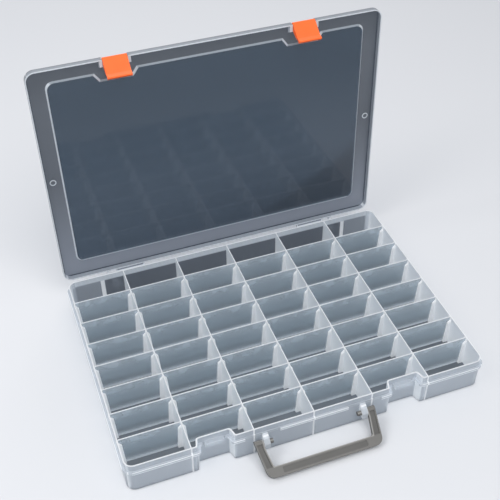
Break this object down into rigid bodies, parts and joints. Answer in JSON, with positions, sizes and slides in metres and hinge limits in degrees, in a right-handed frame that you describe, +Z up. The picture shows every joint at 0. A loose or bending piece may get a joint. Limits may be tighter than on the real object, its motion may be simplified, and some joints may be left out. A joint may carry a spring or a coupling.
{
  "type": "compartment storage box",
  "caption": "Flat translucent organiser case with a hinged lid, two snap latches, a carrying handle and loose cross dividers in fixed long troughs.",
  "frame": {"origin": "middle of the tray's flat underside", "axes": "+X right along the front where the latches and handle are, +Y towards the hinge at the rear, +Z up"},
  "size_m": [0.4292, 0.3688, 0.3303],
  "materials": {
    "tray": "translucent natural polypropylene, smooth, slightly milky",
    "lid": "translucent natural polypropylene, fine frosted grain, clearer panel",
    "divider": "translucent natural polypropylene sheet, smooth",
    "latch": "opaque orange moulded plastic, satin",
    "pin": "natural moulded plastic",
    "handle": "warm grey moulded plastic, fine matt grain"
  },
  "bodies": {
    "tray": {"tray": "tray"},
    "lid": {"lid": "lid"},
    "latch_left": {"latch_left": "latch"},
    "latch_right": {"latch_right": "latch"},
    "latch_pin_left": {"latch_pin_left": "pin"},
    "latch_pin_right": {"latch_pin_right": "pin"},
    "handle": {"handle": "handle"},
    "divider_1_1": {"divider_1_1": "divider"},
    "divider_1_2": {"divider_1_2": "divider"},
    "divider_1_3": {"divider_1_3": "divider"},
    "divider_1_4": {"divider_1_4": "divider"},
    "divider_1_5": {"divider_1_5": "divider"},
    "divider_1_6": {"divider_1_6": "divider"},
    "divider_1_7": {"divider_1_7": "divider"},
    "divider_2_1": {"divider_2_1": "divider"},
    "divider_2_2": {"divider_2_2": "divider"},
    "divider_2_3": {"divider_2_3": "divider"},
    "divider_2_4": {"divider_2_4": "divider"},
    "divider_2_5": {"divider_2_5": "divider"},
    "divider_2_6": {"divider_2_6": "divider"},
    "divider_2_7": {"divider_2_7": "divider"},
    "divider_3_1": {"divider_3_1": "divider"},
    "divider_3_2": {"divider_3_2": "divider"},
    "divider_3_3": {"divider_3_3": "divider"},
    "divider_3_4": {"divider_3_4": "divider"},
    "divider_3_5": {"divider_3_5": "divider"},
    "divider_3_6": {"divider_3_6": "divider"},
    "divider_3_7": {"divider_3_7": "divider"},
    "divider_4_1": {"divider_4_1": "divider"},
    "divider_4_2": {"divider_4_2": "divider"},
    "divider_4_3": {"divider_4_3": "divider"},
    "divider_4_4": {"divider_4_4": "divider"},
    "divider_4_5": {"divider_4_5": "divider"},
    "divider_4_6": {"divider_4_6": "divider"},
    "divider_4_7": {"divider_4_7": "divider"},
    "divider_5_1": {"divider_5_1": "divider"},
    "divider_5_2": {"divider_5_2": "divider"},
    "divider_5_3": {"divider_5_3": "divider"},
    "divider_5_4": {"divider_5_4": "divider"},
    "divider_5_5": {"divider_5_5": "divider"},
    "divider_5_6": {"divider_5_6": "divider"},
    "divider_5_7": {"divider_5_7": "divider"},
    "divider_6_1": {"divider_6_1": "divider"},
    "divider_6_2": {"divider_6_2": "divider"},
    "divider_6_3": {"divider_6_3": "divider"},
    "divider_6_4": {"divider_6_4": "divider"},
    "divider_6_5": {"divider_6_5": "divider"},
    "divider_6_6": {"divider_6_6": "divider"},
    "divider_6_7": {"divider_6_7": "divider"}
  },
  "joints": [
    {"name": "lid_hinge", "type": "hinge", "parent": "tray", "child": "lid", "pos_m": [0, 0.1535, 0.0268], "axis": [-1, 0, 0], "range_deg": [-91.5, 0]},
    {"name": "latch_pin_left_turn", "type": "hinge", "parent": "lid", "child": "latch_pin_left", "pos_m": [-0.1126, 0.17511, 0.32484], "axis": [-1, 0, 0], "range_deg": [0, 51.2]},
    {"name": "latch_left_swing", "type": "hinge", "parent": "latch_pin_left", "child": "latch_left", "pos_m": [-0.1126, 0.17511, 0.32484], "axis": [-1, 0, 0], "range_deg": [-14, 60]},
    {"name": "latch_pin_right_turn", "type": "hinge", "parent": "lid", "child": "latch_pin_right", "pos_m": [0.1126, 0.17511, 0.32484], "axis": [-1, 0, 0], "range_deg": [0, 51.2]},
    {"name": "latch_right_swing", "type": "hinge", "parent": "latch_pin_right", "child": "latch_right", "pos_m": [0.1126, 0.17511, 0.32484], "axis": [-1, 0, 0], "range_deg": [-14, 60]},
    {"name": "handle_pivot", "type": "hinge", "parent": "tray", "child": "handle", "pos_m": [0, -0.1534, 0.022], "axis": [-1, 0, 0], "range_deg": [0, 115]},
    {"name": "divider_1_1_lift", "type": "slide", "parent": "tray", "child": "divider_1_1", "axis": [0, 0, 1], "range_m": [0, 0.045]},
    {"name": "divider_1_2_lift", "type": "slide", "parent": "tray", "child": "divider_1_2", "axis": [0, 0, 1], "range_m": [0, 0.045]},
    {"name": "divider_1_3_lift", "type": "slide", "parent": "tray", "child": "divider_1_3", "axis": [0, 0, 1], "range_m": [0, 0.045]},
    {"name": "divider_1_4_lift", "type": "slide", "parent": "tray", "child": "divider_1_4", "axis": [0, 0, 1], "range_m": [0, 0.045]},
    {"name": "divider_1_5_lift", "type": "slide", "parent": "tray", "child": "divider_1_5", "axis": [0, 0, 1], "range_m": [0, 0.045]},
    {"name": "divider_1_6_lift", "type": "slide", "parent": "tray", "child": "divider_1_6", "axis": [0, 0, 1], "range_m": [0, 0.045]},
    {"name": "divider_1_7_lift", "type": "slide", "parent": "tray", "child": "divider_1_7", "axis": [0, 0, 1], "range_m": [0, 0.045]},
    {"name": "divider_2_1_lift", "type": "slide", "parent": "tray", "child": "divider_2_1", "axis": [0, 0, 1], "range_m": [0, 0.045]},
    {"name": "divider_2_2_lift", "type": "slide", "parent": "tray", "child": "divider_2_2", "axis": [0, 0, 1], "range_m": [0, 0.045]},
    {"name": "divider_2_3_lift", "type": "slide", "parent": "tray", "child": "divider_2_3", "axis": [0, 0, 1], "range_m": [0, 0.045]},
    {"name": "divider_2_4_lift", "type": "slide", "parent": "tray", "child": "divider_2_4", "axis": [0, 0, 1], "range_m": [0, 0.045]},
    {"name": "divider_2_5_lift", "type": "slide", "parent": "tray", "child": "divider_2_5", "axis": [0, 0, 1], "range_m": [0, 0.045]},
    {"name": "divider_2_6_lift", "type": "slide", "parent": "tray", "child": "divider_2_6", "axis": [0, 0, 1], "range_m": [0, 0.045]},
    {"name": "divider_2_7_lift", "type": "slide", "parent": "tray", "child": "divider_2_7", "axis": [0, 0, 1], "range_m": [0, 0.045]},
    {"name": "divider_3_1_lift", "type": "slide", "parent": "tray", "child": "divider_3_1", "axis": [0, 0, 1], "range_m": [0, 0.045]},
    {"name": "divider_3_2_lift", "type": "slide", "parent": "tray", "child": "divider_3_2", "axis": [0, 0, 1], "range_m": [0, 0.045]},
    {"name": "divider_3_3_lift", "type": "slide", "parent": "tray", "child": "divider_3_3", "axis": [0, 0, 1], "range_m": [0, 0.045]},
    {"name": "divider_3_4_lift", "type": "slide", "parent": "tray", "child": "divider_3_4", "axis": [0, 0, 1], "range_m": [0, 0.045]},
    {"name": "divider_3_5_lift", "type": "slide", "parent": "tray", "child": "divider_3_5", "axis": [0, 0, 1], "range_m": [0, 0.045]},
    {"name": "divider_3_6_lift", "type": "slide", "parent": "tray", "child": "divider_3_6", "axis": [0, 0, 1], "range_m": [0, 0.045]},
    {"name": "divider_3_7_lift", "type": "slide", "parent": "tray", "child": "divider_3_7", "axis": [0, 0, 1], "range_m": [0, 0.045]},
    {"name": "divider_4_1_lift", "type": "slide", "parent": "tray", "child": "divider_4_1", "axis": [0, 0, 1], "range_m": [0, 0.045]},
    {"name": "divider_4_2_lift", "type": "slide", "parent": "tray", "child": "divider_4_2", "axis": [0, 0, 1], "range_m": [0, 0.045]},
    {"name": "divider_4_3_lift", "type": "slide", "parent": "tray", "child": "divider_4_3", "axis": [0, 0, 1], "range_m": [0, 0.045]},
    {"name": "divider_4_4_lift", "type": "slide", "parent": "tray", "child": "divider_4_4", "axis": [0, 0, 1], "range_m": [0, 0.045]},
    {"name": "divider_4_5_lift", "type": "slide", "parent": "tray", "child": "divider_4_5", "axis": [0, 0, 1], "range_m": [0, 0.045]},
    {"name": "divider_4_6_lift", "type": "slide", "parent": "tray", "child": "divider_4_6", "axis": [0, 0, 1], "range_m": [0, 0.045]},
    {"name": "divider_4_7_lift", "type": "slide", "parent": "tray", "child": "divider_4_7", "axis": [0, 0, 1], "range_m": [0, 0.045]},
    {"name": "divider_5_1_lift", "type": "slide", "parent": "tray", "child": "divider_5_1", "axis": [0, 0, 1], "range_m": [0, 0.045]},
    {"name": "divider_5_2_lift", "type": "slide", "parent": "tray", "child": "divider_5_2", "axis": [0, 0, 1], "range_m": [0, 0.045]},
    {"name": "divider_5_3_lift", "type": "slide", "parent": "tray", "child": "divider_5_3", "axis": [0, 0, 1], "range_m": [0, 0.045]},
    {"name": "divider_5_4_lift", "type": "slide", "parent": "tray", "child": "divider_5_4", "axis": [0, 0, 1], "range_m": [0, 0.045]},
    {"name": "divider_5_5_lift", "type": "slide", "parent": "tray", "child": "divider_5_5", "axis": [0, 0, 1], "range_m": [0, 0.045]},
    {"name": "divider_5_6_lift", "type": "slide", "parent": "tray", "child": "divider_5_6", "axis": [0, 0, 1], "range_m": [0, 0.045]},
    {"name": "divider_5_7_lift", "type": "slide", "parent": "tray", "child": "divider_5_7", "axis": [0, 0, 1], "range_m": [0, 0.045]},
    {"name": "divider_6_1_lift", "type": "slide", "parent": "tray", "child": "divider_6_1", "axis": [0, 0, 1], "range_m": [0, 0.045]},
    {"name": "divider_6_2_lift", "type": "slide", "parent": "tray", "child": "divider_6_2", "axis": [0, 0, 1], "range_m": [0, 0.045]},
    {"name": "divider_6_3_lift", "type": "slide", "parent": "tray", "child": "divider_6_3", "axis": [0, 0, 1], "range_m": [0, 0.045]},
    {"name": "divider_6_4_lift", "type": "slide", "parent": "tray", "child": "divider_6_4", "axis": [0, 0, 1], "range_m": [0, 0.045]},
    {"name": "divider_6_5_lift", "type": "slide", "parent": "tray", "child": "divider_6_5", "axis": [0, 0, 1], "range_m": [0, 0.045]},
    {"name": "divider_6_6_lift", "type": "slide", "parent": "tray", "child": "divider_6_6", "axis": [0, 0, 1], "range_m": [0, 0.045]},
    {"name": "divider_6_7_lift", "type": "slide", "parent": "tray", "child": "divider_6_7", "axis": [0, 0, 1], "range_m": [0, 0.045]}
  ],
  "couplings": [
    {"joint": "latch_pin_left_turn", "follows": "lid_hinge", "ratio": -0.55738},
    {"joint": "latch_pin_right_turn", "follows": "lid_hinge", "ratio": -0.55738}
  ]
}
